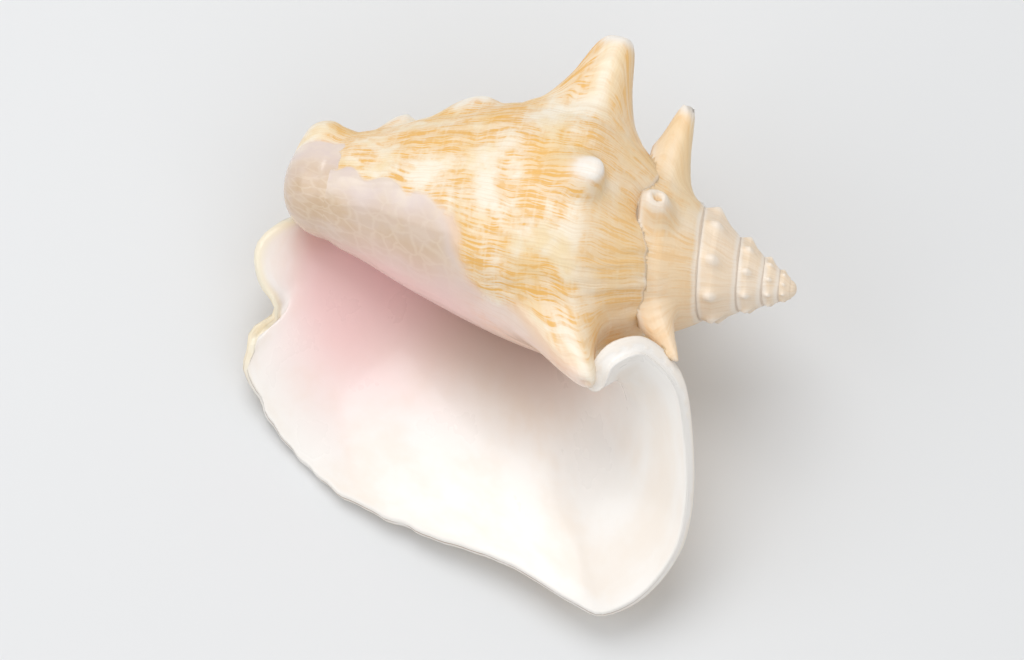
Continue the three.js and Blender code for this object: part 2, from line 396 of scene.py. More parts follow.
@dataclass(frozen=True)
class Thorn:
    """A spine drawn out of the shoulder, with a wide foot that runs into the whorl.

    The foot's middle and the tip are given by their place along the axis and distance from it, at one turn.
    The outline says how much of the reach a point takes by its distance from the foot's middle, trail how
    much longer the foot is toward the siphonal end, and hollow how wide the broken end's hollow is, which is
    coloured dark brown as painted shade. Both distances are shares of the foot's radius.
    """

    turn: float
    foot_x: float
    foot_r: float
    tip_x: float
    tip_r: float
    foot: float
    outline: Curve = Curve(((0, 1), (0.2, 0.97), (0.3, 0.86), (0.48, 0.44), (0.72, 0.12), (1, 0)))
    trail: float = 1.3
    white: float = 1.0
    hollow: float = 0.0

    @property
    def base(self) -> Array:
        """The middle of the foot."""
        return polar(self.foot_x, self.foot_r, self.turn)

    @property
    def reach(self) -> Array:
        """From the foot to the tip."""
        return polar(self.tip_x, self.tip_r, self.turn) - self.base

    def distance(self, points: Array) -> Array:
        """Measures from the foot's middle.

        Args:
            points: Places on the whorl.

        Returns:
            The distances, in shares of the foot's radius.
        """
        away = points - self.base
        away[..., 0] = np.where(away[..., 0] < 0, away[..., 0] / self.trail, away[..., 0])
        return np.linalg.norm(away, axis=-1) / self.foot

    def share(self, points: Array) -> Array:
        """Returns how much of the reach each point takes."""
        return self.outline(self.distance(points))


def draw_out(points: Array, thorns: tuple[Thorn, ...]) -> tuple[Array, Array]:
    """Draws the thorns out of a surface.

    Args:
        points: The surface's points.
        thorns: The thorns on it.

    Returns:
        The moved points, and how worn each is by being near the tip of a thorn, from 0 to 1; in a broken
        tip's hollow the mark is -1, which paints shade there.
    """
    moved = points.copy()
    worn = np.zeros(len(points))
    for thorn in thorns:
        share = thorn.share(points)
        moved += share[:, None] * thorn.reach
        below_tip = (1.0 - share) * np.linalg.norm(thorn.reach)
        worn = np.maximum(worn, thorn.white * bump(below_tip, WORN_REACH) * smooth(0.1, 0.4, share))
    # A broken tip's hollow is marked -1, which colours it dark brown: painted shade in the hollow, partly the
    # pit's own brown.
    for thorn in thorns:
        if thorn.hollow:
            worn = mix(worn, -1.0, 1.0 - smooth(0.7, 1.0, thorn.distance(points) / thorn.hollow))
    return moved, worn


WORN_REACH = 4.0  # how far below its tip a thorn is worn white
HOLLOW = Curve((
    (0, 0.72), (0.07, 0.74), (0.12, 0.95), (0.16, 1), (0.21, 0.97), (0.3, 0.8), (0.48, 0.42),
    (0.74, 0.11), (1, 0),
))
RING = Curve(((0, 0.5), (0.13, 0.52), (0.2, 0.95), (0.27, 1), (0.34, 0.95), (0.5, 0.6), (0.75, 0.15), (1, 0)))
DOME = Curve(((0, 1), (0.3, 0.88), (0.6, 0.42), (0.85, 0.08), (1, 0)))
BODY_THORNS = (
    Thorn(-49, -88, 54, -70, 77, 23, HOLLOW, trail=1.5, white=0.4, hollow=0.15),
    Thorn(27, -92, 55, -85, 64, 14, DOME),
    Thorn(90, -98, 57, -95, 88.5, 25),
    Thorn(168, -106, 59, -106, 81, 22),
)
SWELLINGS = (
    Thorn(90, -152, 46, -151, 52, 17, DOME, white=0.5),
    Thorn(92, -181, 32, -180, 36.5, 9, DOME, white=0.5),
    Thorn(80, -209, 21, -211, 26, 15, DOME, white=0.0),
    Thorn(-20, -120, 50, -120, 53, 24, DOME, white=0.0),
)
LIP_THORN_HEIGHT = 15.0
SPIRE_THORNS = (
    Thorn(-50, -52, 34, -36, 58, 11),
    Thorn(31, -60, 36, -60, 46.5, 12, RING, white=0.6, hollow=0.19),
    Thorn(88, -62, 37, -60, 66, 14, HOLLOW, hollow=0.1),
    Thorn(150, -66, 38, -52, 58, 12),
    Thorn(218, -69, 40, -56, 58, 12),
)


# ---- The spire


@dataclass(frozen=True)
class Spire:
    """The early whorls: a helical band from suture to suture, closed to the axis at both ends."""

    coil: Coil = COIL
    per_turn: int = 168
    rows: int = 22
    overlap: float = 0.06
    shoulder: float = 0.6
    knobs_a_turn: float = 9.0
    tip_x: float = -4.8
    tip_radius: float = 4.1

    def knob(self, turns: Array, u: Array) -> Array:
        """Raises rounded knobs along the shoulder of the early whorls.

        Args:
            turns: Whole turns from the last whorl's suture at +Y.
            u: From a whorl's own suture (0) to the next one (1).

        Returns:
            The knobs' height at each place.
        """
        early = 1.0 - smooth(-1.85, -1.6, turns)
        height = 0.075 * self.coil.suture(turns + 0.7)
        around = 2.0 * np.sin(math.pi * turns * self.knobs_a_turn) / math.pi
        return early * height * bump(around, 0.34) * bump(u - 0.62, 0.22)

    def band(self, turns: Array, u: Array) -> Array:
        """Returns points of the band.

        Args:
            turns: Whole turns from the last whorl's suture at +Y.
            u: From a whorl's own suture (0) to the next one (1).

        Returns:
            The points, in the shell's frame.
        """
        upper = self.coil.suture(turns)
        lower = self.coil.suture(turns + 1.0)
        slope = self.coil.spire_slope
        ramp = mix(upper * slope, lower * slope * 0.93, np.clip(u / self.shoulder, 0, 1) ** 0.85)
        radius = ramp * mix(1.0, 1.07, smooth(self.shoulder, 1.0, u)) + self.knob(turns, u)
        return polar(self.coil.virtual_apex - mix(upper, lower, u), radius, 90.0 + 360.0 * turns)

    def build(self) -> Surface:
        """Builds the closed spire.

        Returns:
            The spire's surface, with its marks.
        """
        coil = self.coil
        end = coil.start_turns + self.overlap
        count = round((coil.spire_turns - 1.0 + self.overlap) * self.per_turn)
        thing, column, row = sheet("spire", count, self.rows)
        next_turn = (row == self.rows) & (column + self.per_turn <= count)
        column = np.where(next_turn, column + self.per_turn, column)
        row = np.where(next_turn, 0, row)
        turns = end - (count - column) / self.per_turn
        u = row / self.rows
        points = self.band(turns, u)
        points, near = draw_out(points, SPIRE_THORNS)
        knobs = 0.45 * smooth(0.25, 0.9, self.knob(turns, u) / (0.06 * coil.suture(turns + 0.7)))
        near = np.where(near < 0, near, np.maximum(near, knobs))
        sunk = 1.0 - 0.05 * smooth(coil.start_turns - 0.01, end, turns)
        points[:, 1:] *= sunk[:, None]
        shape(thing, points)
        weld(thing)
        tip_x = points[:, 0].max()
        foot_x = coil.virtual_apex - coil.suture(end + 1.0)
        cap(thing, lambda p: p.x > 0.5 * foot_x, Vector((tip_x + 0.4, 0, 0)))
        cap(thing, lambda p: p.x < 0.5 * foot_x, Vector((foot_x - 2.0, 0, 0)))
        weld(thing)
        self.round_tip(thing)
        length = 2.0 * math.pi * coil.spire_slope / math.log(coil.growth)
        arc = length * (coil.suture(turns) - coil.suture(coil.start_turns))
        depth = coil.suture(turns + 1.0) - coil.suture(turns)
        parietal = smooth(-0.66, -0.6, turns) * smooth(0.7, 0.85, u)
        marks = marks_of(
            len(points), growth=arc, across=u * depth, worn=near, edge=FAR,
            seam=np.minimum(u, 1.0 - u) * depth + FAR * (column < self.per_turn) + FAR * parietal,
            callus=mix(-FAR, FAR / 2, parietal),
        )
        return Surface(thing, points, marks)

    def round_tip(self, thing: bpy.types.Object) -> None:
        """Unites the blunt round tip with the spire.

        Args:
            thing: The closed spire.
        """
        deselect()
        bpy.ops.mesh.primitive_uv_sphere_add(
            segments=40, ring_count=20, radius=self.tip_radius, location=(self.tip_x, 0, 0)
        )
        unite(thing, bpy.context.object)


# ---- The last whorl and the lip


CONE_X = Curve(((-100, -56), (0, -64), (90, -71.5), (180, -77), (205, -78)))
SUTURE_X = Curve((
    (-100, -56), (-64, -56.8), (-36, -57.5), (-11, -58.5), (7, -61), (18, -65), (26, -67.5), (38, -67),
    (52, -64.5), (62, -64.5), (90, -69), (130, -74), (180, -77), (205, -78),
))
SHOULDER_X = Curve(((-100, -78), (-90, -79), (0, -87), (90, -95), (180, -100), (205, -101)))
SHOULDER_R = Curve(((-100, 48), (-90, 49), (0, 52.5), (90, 57), (180, 60), (205, 61)))
MARGIN_X = Curve(((90, -212), (140, -213), (205, -211)))
MARGIN_R = Curve(((90, 20), (140, 23), (205, 28)))
FLANK = Curve(((0, 1), (0.12, 0.992), (0.3, 0.915), (0.58, 0.71), (0.8, 0.51), (0.9, 0.45), (1, 0.37)))
SHOULDER_ROW = 0.2
CALLUS_LINE = Curve((
    (-216, 50), (-194, 16), (-175, 11.5), (-150, 7.5), (-142, 4), (-136, -12), (-130, -24), (-114, -33),
    (-93, -43), (-80, -60), (-70, -112),
))
LIP_EDGE = np.array((
    (-73, -58, 42), (-69, -42, 45), (-54, -32, 38), (-36, -43, 27), (-27, -66, 17), (-21, -95, 10),
    (-22, -116, 6), (-33, -138, 2), (-49, -150, 0), (-62, -148, 0), (-90, -140, -3), (-130, -136, -7),
    (-165, -130, -11), (-194, -118, -16), (-216, -99, -16), (-227, -84, -12), (-226, -68, -9),
    (-219, -58, -11), (-229, -46, -10), (-233, -32, -10), (-226, -22, -16), (-213, -18, -24),
), dtype=float)


def edge_curves() -> tuple[Curve, Curve, Curve]:
    """Turns the corners of the lip's edge into smooth curves.

    Returns:
        The x, y and z of the edge by the share of its length.
    """
    steps = np.linalg.norm(np.diff(LIP_EDGE, axis=0), axis=1)
    share = np.concatenate(([0.0], np.cumsum(steps))) / steps.sum()
    return tuple(Curve(tuple(zip(share, LIP_EDGE[:, axis]))) for axis in range(3))


EDGE_CURVES = edge_curves()
# Which way the lip points as it comes to its edge: x, y and z along the edge.
FLARE_CURVES = (
    Curve((
        (0, 0.2), (0.05, 0.45), (0.09, 0.8), (0.14, 0.8), (0.22, 0.5), (0.34, 0.15), (0.75, 0), (1, -0.9),
    )),
    Curve((
        (0, 0.1), (0.05, 0.05), (0.09, -0.1), (0.14, -0.35), (0.22, -0.75), (0.34, -0.93), (0.75, -0.95),
        (1, -0.2),
    )),
    Curve(((0, 0.95), (0.05, 0.85), (0.09, 0.5), (0.14, 0.3), (0.22, 0.25), (0.42, 0.3), (1, 0.3))),
)
NOTCH_SHARE = 0.873  # where the siphonal notch lies, by the share of the edge's length


@dataclass(frozen=True)
class LastWhorl:
    """The wall of the last whorl, which leaves the core as a broad flared lip.

    A place on it has two numbers. s is 0 at the wall's start, 1 where the lip leaves the coil and 2 at the
    lip's free edge. v is 0 at the suture and 1 at the siphonal margin.
    """

    coil: Coil = COIL
    wall_thick: float = 4.0
    lip_thick: float = 6.5
    leave_pull: float = 95.0
    flare_pull: float = 55.0
    short_lip: float = 30.0
    edge_ease: float = 0.12
    callus_step: float = 0.55
    cord_height: float = 0.09
    fold_height: float = 0.13
    uneven_height: float = 0.35
    curl_extra: float = 2.6
    notch_thinner: float = 3.0
    start_sink: float = 2.2
    margin_sink: float = 2.4
    ring_columns: int = 244
    lip_columns: int = 84
    edge_steps: tuple[float, ...] = (5.0, 3.2, 2.1, 1.3, 0.7, 0.25, 0.0)
    rim_steps: tuple[float, ...] = (0.0, 0.0004, 0.0013, 0.0025, 0.004, 0.006)
    body_rows: int = 132
    row_share: Curve = Curve(((0, 0.0085), (0.36, 0.2), (1, 0.994)))
    edge_share: Curve = Curve(((0, 0), (0.1, 0.18), (0.22, 0.36), (0.5, 0.6), (0.8, 0.82), (1, 1)))

    def section(self, turn: Array, v: Array) -> Array:
        """Gives the whorl's section, with a sharp shoulder.

        Args:
            turn: Degrees round the axis.
            v: From the suture (0) to the siphonal margin (1).

        Returns:
            Points in the shell's frame.
        """
        v = np.clip(v, 0.0, 1.0)
        xs, rs = SHOULDER_X(turn), SHOULDER_R(turn)
        xu = SUTURE_X(turn) + 0.35 * np.sin(turn / 4.3) + 0.25 * np.sin(turn / 1.9)
        over = np.clip(xu - CONE_X(turn), 0.0, 7.0)
        ru = (self.coil.virtual_apex - xu) * self.coil.spire_slope - 0.6 + 0.4 * over
        s = np.clip(v / SHOULDER_ROW, 0.0, 1.0)
        q = np.clip((v - SHOULDER_ROW) / (1.0 - SHOULDER_ROW), 0.0, 1.0)
        flank = rs * FLANK(q) + (MARGIN_R(turn) - rs * FLANK(1.0)) * q * q
        on_ramp = v < SHOULDER_ROW
        x = np.where(on_ramp, mix(xu, xs, s), mix(xs, MARGIN_X(turn), q))
        r = np.where(on_ramp, mix(ru, rs, s**0.8), flank)
        return polar(x, r, turn)

    def whorl(self, turn: Array, v: Array) -> Array:
        """Gives the outer face, whose shoulder rounds off as it nears the lip.

        Args:
            turn: Degrees round the axis.
            v: From the suture (0) to the siphonal margin (1).

        Returns:
            Points in the shell's frame.
        """
        reach = mix(0.035, 0.15, smooth(110, self.coil.wall_end, turn))
        reach = reach * smooth(0, 0.12, np.minimum(v, 1 - v))
        total, weights = 0.0, 0.0
        for step in np.linspace(-1.0, 1.0, 9):
            weight = math.cos(0.46 * math.pi * step)
            total = total + weight * self.section(turn, v + step * reach)
            weights += weight
        return total / weights

    def edge(self, share: Array) -> Array:
        """Gives the lip's slightly ragged edge.

        Args:
            share: Shares of the edge's length.

        Returns:
            Points in the shell's frame.
        """
        end = np.stack([curve(share) for curve in EDGE_CURVES], axis=-1)
        ragged = smooth(0.42, 0.6, share) * (1.0 - smooth(0.86, 0.93, share))
        waves = 0.6 * np.sin(share * 96.0 + 2.0 * np.sin(share * 31.0)) + 0.35 * np.sin(share * 233.0)
        return end + (ragged * waves)[..., None] * np.array((-0.8, -0.6, 0.2))

    def lip(self, s: Array, v: Array) -> Array:
        """Gives the lip, drawn from the coil to its edge along smooth curves.

        Args:
            s: From the coil (0) to the free edge (1).
            v: From the suture (0) to the siphonal margin (1).

        Returns:
            Points in the shell's frame.
        """
        end_turn = np.full_like(v, self.coil.wall_end)
        start = self.whorl(end_turn, v)
        leave = unit(start - self.whorl(end_turn - 1.0, v))
        share = self.edge_share(v)
        steps, reach = np.linspace(-1.0, 1.0, 13), np.minimum(self.edge_ease, 1.0 - share)
        eased = sum(self.edge(share + step * reach) for step in steps) / len(steps)
        end = mix(eased, self.edge(share), smooth(0.66, 1.0, s)[:, None])
        pull = (mix(0.45, 1.0, smooth(0, 0.3, v)) * mix(1.0, 0.35, smooth(0.7, 1, v)))[:, None]
        length = np.linalg.norm(eased - start, axis=-1, keepdims=True)
        pull = pull * np.clip(length / self.short_lip, 0.1, 1.0)
        flare = np.stack([curve(v) for curve in FLARE_CURVES], axis=-1)
        s = s[:, None]
        h = s * s * (3.0 - 2.0 * s)
        ease_out, ease_in = s - 2.0 * s**2 + s**3, s**3 - s**2
        return (
            mix(start, end, h)
            + self.leave_pull * pull * leave * ease_out
            + self.flare_pull * pull * flare * ease_in
        )

    def face(self, s: Array, v: Array) -> Array:
        """Returns points of the wall's outer face."""
        turn = mix(self.coil.wall_start, self.coil.wall_end, np.clip(s, 0, 1))
        return np.where((s <= 1.0)[:, None], self.whorl(turn, v), self.lip(np.clip(s - 1.0, 0, 1), v))

    def normal(self, s: Array, v: Array) -> Array:
        """Finds which way the wall faces.

        Args:
            s: From the wall's start (0) to the lip's edge (2).
            v: From the suture (0) to the siphonal margin (1).

        Returns:
            The outward directions, of length one.
        """
        d = 0.01
        s0, s1 = np.maximum(s - d, 0), np.minimum(s + d, 2)
        v0, v1 = np.maximum(v - d, 0), np.minimum(v + d, 1)
        return unit(np.cross(self.face(s1, v) - self.face(s0, v), self.face(s, v1) - self.face(s, v0)))

    def stations(self, columns: Array, rows: Array) -> tuple[Array, Array, Array]:
        """Spreads the sheet's points over the wall, crowded toward its rounded edges.

        Args:
            columns: The number of each point's column.
            rows: The number of each point's row.

        Returns:
            s, v and the distance to the lip's free edge for each point.
        """
        crowd = np.array(self.rim_steps)
        body = self.row_share(np.linspace(0, 1, self.body_rows))
        v = np.concatenate((crowd, body, 1.0 - crowd[::-1]))[rows]
        length = self.lip_length(v)
        ring, lip = self.ring_columns, self.lip_columns
        steps = np.array(self.edge_steps)
        on_ring = columns / ring
        top = 2.0 - steps[0] / length
        on_lip = mix(1.0, top, np.clip((columns - ring) / lip, 0, 1))
        last = np.clip(columns - ring - lip, 0, len(steps) - 1)
        on_edge = 2.0 - steps[last] / length
        s = np.where(columns <= ring, on_ring, np.where(columns <= ring + lip, on_lip, on_edge))
        return s, v, (2.0 - np.clip(s, 1, 2)) * length

    def lip_length(self, v: Array) -> Array:
        """Measures the lip from the coil to its edge.

        Args:
            v: From the suture (0) to the siphonal margin (1).

        Returns:
            The length along each row.
        """
        places = np.linspace(0, 1, 13)
        track = [self.lip(np.full_like(v, s), v) for s in places]
        return sum(np.linalg.norm(b - a, axis=-1) for a, b in zip(track, track[1:]))

    def build(self) -> Surface:
        """Builds the closed wall, with its rounded free edges.

        Returns:
            The wall's surface, with its marks.
        """
        columns = self.ring_columns + self.lip_columns + len(self.edge_steps) - 1
        rows = self.body_rows + 2 * len(self.rim_steps) - 1
        outer, column, row = sheet("wall", columns, rows)
        inner, _, _ = sheet("wall_inside", columns, rows)
        s, v, to_edge = self.stations(column, row)
        base, normal = self.face(s, v), self.normal(s, v)
        thick = mix(self.wall_thick, self.lip_thick, smooth(1.2, 1.85, s))
        thick = thick + self.curl_extra * smooth(1.4, 1.9, s) * (1.0 - smooth(0.03, 0.11, v))
        notch = smooth(1.6, 1.95, s) * bump(self.edge_share(v) - NOTCH_SHARE, 0.02)
        thick = thick - self.notch_thinner * notch
        width = mix(ACROSS, 520.0, smooth(1.0, 1.9, s))
        to_rim = np.minimum(v, 1.0 - v) * width
        ends = np.minimum(to_edge + 60.0 * (s < 1.0), to_rim)
        ends = np.where(column == 0, 0.0, ends)
        full = np.sqrt(1.0 - (1.0 - np.clip(ends / (0.5 * thick), 0, 1)) ** 2)
        turn = mix(self.coil.wall_start, self.coil.wall_end, s)
        sink = self.start_sink * (1.0 - smooth(0, 0.06, s))
        sink = sink + self.margin_sink * smooth(0.86, 0.97, v) * (1.0 - smooth(85, 125, turn))
        middle = base - normal * (sink + thick / 2)[:, None]
        half = normal * (thick / 2 * full)[:, None]
        lip_thorn = self.lip_thorn()
        callus = self.callus(base, turn, s)
        relief = self.relief(base, v, s) * (1.0 - 0.75 * smooth(-2.0, 5.0, callus))
        relief = relief + self.callus_step * smooth(-0.6, 1.4, callus)
        raised = middle + half + normal * relief[:, None]
        drawn, near = draw_out(raised, BODY_THORNS + SWELLINGS + (lip_thorn,))
        fade = np.clip(full, 0, 1)[:, None]
        outside = mix(middle + half, drawn, fade)
        inside = middle - half
        shape(outer, outside)
        shape(inner, inside)
        join(outer, inner)
        weld(outer)
        growth = np.where(s <= 1.0, WALL_GROWTH * s, WALL_GROWTH + LIP_GROWTH * (s - 1.0))
        edge = np.minimum(to_edge + 60.0 * (s < 1.0), to_rim + 60.0 * (s < 1.5))
        common = {"growth": growth, "across": v * ACROSS, "edge": edge}
        count = len(base)
        out_marks = marks_of(count, **common, worn=near, seam=to_rim + FAR * (v > 0.5), callus=callus)
        in_marks = marks_of(count, **common, inner=1.0, seam=FAR, callus=FAR)
        return Surface(outer, np.concatenate((outside, inside)), np.concatenate((out_marks, in_marks)))

    def callus(self, base: Array, turn: Array, s: Array) -> Array:
        """Measures from the scalloped edge of the glaze.

        Args:
            base: Points of the wall.
            turn: Degrees round the axis.
            s: From the wall's start (0) to the lip's edge (2).

        Returns:
            The distances in from the edge, negative outside it.
        """
        radius = np.linalg.norm(base[:, 1:], axis=1)
        scallops = 1.6 * np.sin(base[:, 0] / 3.1) + 1.2 * noise(base, 17.0, 5)
        inside = np.radians(CALLUS_LINE(base[:, 0]) - turn) * radius + scallops
        return np.where(s <= 1.0, inside, -FAR)

    def relief(self, base: Array, v: Array, s: Array) -> Array:
        """Gives the whorl's broad cords, growth folds and unevenness.

        Args:
            base: Points of the wall.
            v: From the suture (0) to the siphonal margin (1).
            s: From the wall's start (0) to the lip's edge (2).

        Returns:
            The height at each point.
        """
        across = v * ACROSS
        wander = noise(base, 45.0, 3)
        cords = np.sin(2 * math.pi * across / 9.5 + 1.5 * wander) * smooth(30, 50, across)
        folds = np.sin(2 * math.pi * (s * WALL_GROWTH + 6.0 * wander) / 11.0 + 0.8 * wander)
        uneven = self.uneven_height * noise(base, 26.0, 8)
        cords, folds = self.cord_height * cords, self.fold_height * folds
        return (cords + folds + uneven) * smooth(0.03, 0.1, s)

    def lip_thorn(self) -> Thorn:
        """Places the blunt thorn on the back of the lip.

        Returns:
            The thorn.
        """
        at, v = np.array([1.3]), np.array([0.17])
        base, normal = self.face(at, v)[0], self.normal(at, v)[0]
        tip = base + LIP_THORN_HEIGHT * (normal + np.array((0.3, 0, 0)))
        turn = math.degrees(math.atan2(base[1], base[2]))
        return Thorn(turn, base[0], np.hypot(*base[1:]), tip[0], np.hypot(*tip[1:]), 18.0)


# ---- The core


CORE_START = Curve(((-100, -79), (0, -87), (90, -95), (180, -100), (215, -100), (260, -79)))


@dataclass(frozen=True)
class Core:
    """The filled body under the first half of the last whorl, and the columella behind the throat."""

    coil: Coil = COIL
    skin: float = 1.2
    around: int = 180
    along: int = 110
    collar: tuple[tuple[float, float], ...] = ((-48, 0), (-56, 26))
    nose_share: float = 0.9
    nose_x: float = -214.0
    nose_rings: int = 26
    nose_radius: float = 18.0
    glaze_turn: float = 50.0
    parietal: float = 38.0

    def radius(self, turn: Array, q: Array) -> Array:
        """Gives the core's radius.

        Args:
            turn: Degrees round the axis.
            q: From the shoulder (0) to the siphonal end (1).

        Returns:
            The radius at each place.
        """
        coil = self.coil
        turn = np.where(turn > 260.0, turn - 360.0, turn)

        def full(at: Array) -> Array:
            """Returns the radius just under the wall."""
            rs = SHOULDER_R(at)
            return rs * FLANK(q) + (MARGIN_R(at) - rs * FLANK(1.0)) * q * q - self.skin

        start, shut = np.full_like(q, coil.wall_start), np.full_like(q, coil.throat_shut)
        parietal = self.parietal * (0.3 + 0.7 * (1.0 - q) ** 1.6)
        grown = mix(parietal, full(start), smooth(175, 260, turn))
        throat = mix(grown, full(shut), 1.0 - smooth(coil.throat_shut, coil.throat_open, turn))
        return np.where(turn <= coil.throat_shut, full(np.maximum(turn, coil.wall_start)), throat)

    def build(self) -> Surface:
        """Builds the closed core.

        Returns:
            The core's surface, with its marks.
        """
        first, last = len(self.collar), len(self.collar) + self.along - 1
        thing, column, row = sheet("core", self.around, last + self.nose_rings)
        turn = self.coil.wall_start + 360.0 * (column % self.around) / self.around
        q = self.nose_share * np.clip((row - first) / (self.along - 1), 0, 1)
        round_off = 0.5 * math.pi * np.clip((row - last) / self.nose_rings, 0, 1)
        x = mix(CORE_START(turn), self.nose_x, q)
        x = mix(x, self.coil.anterior_x, np.sin(round_off))
        r = self.radius(turn, q) * np.abs(np.cos(round_off)) ** 0.8
        for i, (at, radius) in enumerate(self.collar):
            x, r = np.where(row == i, at, x), np.where(row == i, radius, r)
        points, _ = draw_out(polar(x, r, turn), SWELLINGS)
        shape(thing, points)
        weld(thing)
        # The core behind the throat and under the columellar edge is marked as deep inside, so it takes the
        # throat's darkened colour, partly painted shade.
        shaded = smooth(108, 135, turn) * (1.0 - smooth(195, 205, -x))
        under_edge = 1.0 - smooth(-100, -84, turn)
        marks = marks_of(
            len(points), growth=0.95 * (turn - self.coil.wall_start) * (1.0 - shaded),
            across=mix(SHOULDER_ROW, 1.0, q) * ACROSS + 22.0 * np.sin(round_off),
            inner=np.maximum(shaded, under_edge * (1.0 - smooth(195, 210, -x))), edge=FAR, seam=FAR,
            callus=np.radians(self.glaze_turn - turn) * self.nose_radius,
        )
        return Surface(thing, points, marks)


# ---- The whole shell


@dataclass
class ConchShell:
    """The shell as one grown piece: its parts joined into one skin, dressed and laid down."""

    coil: Coil = COIL
    offset: Vector = field(default_factory=Vector)

    def build(self) -> bpy.types.Object:
        """Builds the parts and makes one skin of them.

        Returns:
            The finished shell, in metres, on its back.
        """
        parts = [Core().build(), Spire().build(), LastWhorl().build()]
        for part in parts:
            log.info("%s: %d faces", part.thing.name, len(part.thing.data.polygons))
        known = np.concatenate([part.points for part in parts])
        marks = np.concatenate([part.marks for part in parts])
        whole = parts[0].thing
        for part in parts[1:]:
            unite(whole, part.thing)
        whole = largest_skin(whole)
        self.mark(whole, known, marks)
        self.lay_down(whole)
        choose(whole)
        bpy.ops.object.shade_smooth()
        whole.name = "conch"
        whole.data.name = "conch"
        log.info("conch: %d triangles", self.triangles(whole))
        return whole

    @staticmethod
    def triangles(thing: bpy.types.Object) -> int:
        """Returns how many triangles a mesh comes to."""
        return sum(len(face.vertices) - 2 for face in thing.data.polygons)

    @staticmethod
    def mark(thing: bpy.types.Object, known: Array, marks: Array) -> None:
        """Gives each point of the skin the marks of the nearest point that the parts were made of.

        Args:
            thing: The skin.
            known: The parts' points.
            marks: The parts' marks, in the same order.
        """
        tree = kdtree.KDTree(len(known))
        for i, point in enumerate(known):
            tree.insert(point, i)
        tree.balance()
        nearest = np.array([tree.find(v.co)[1] for v in thing.data.vertices])
        for i, name in enumerate(MARKS):
            layer = thing.data.attributes.new(name, "FLOAT", "POINT")
            layer.data.foreach_set("value", marks[nearest, i].astype(np.float32))

    def lay_down(self, thing: bpy.types.Object) -> None:
        """Turns the shell onto its back and sets it in the frame's box, in metres.

        Args:
            thing: The skin, in the shell's own frame.
        """
        turned = points_of(thing) @ np.array(self.coil.rotation()).T * MM
        low, high = turned.min(axis=0), turned.max(axis=0)
        offset = np.array((CAD_BOX[0] + CAD_BOX[1]) / 2) - (low + high) / 2
        offset[2] = -low[2]
        shape(thing, turned + offset)
        self.offset = Vector(offset)

    def place(self, point: Vector) -> Vector:
        """Returns where a point of the shell's own frame lies in the finished scene."""
        return self.coil.rotation() @ point * MM + self.offset


# ---- Finish


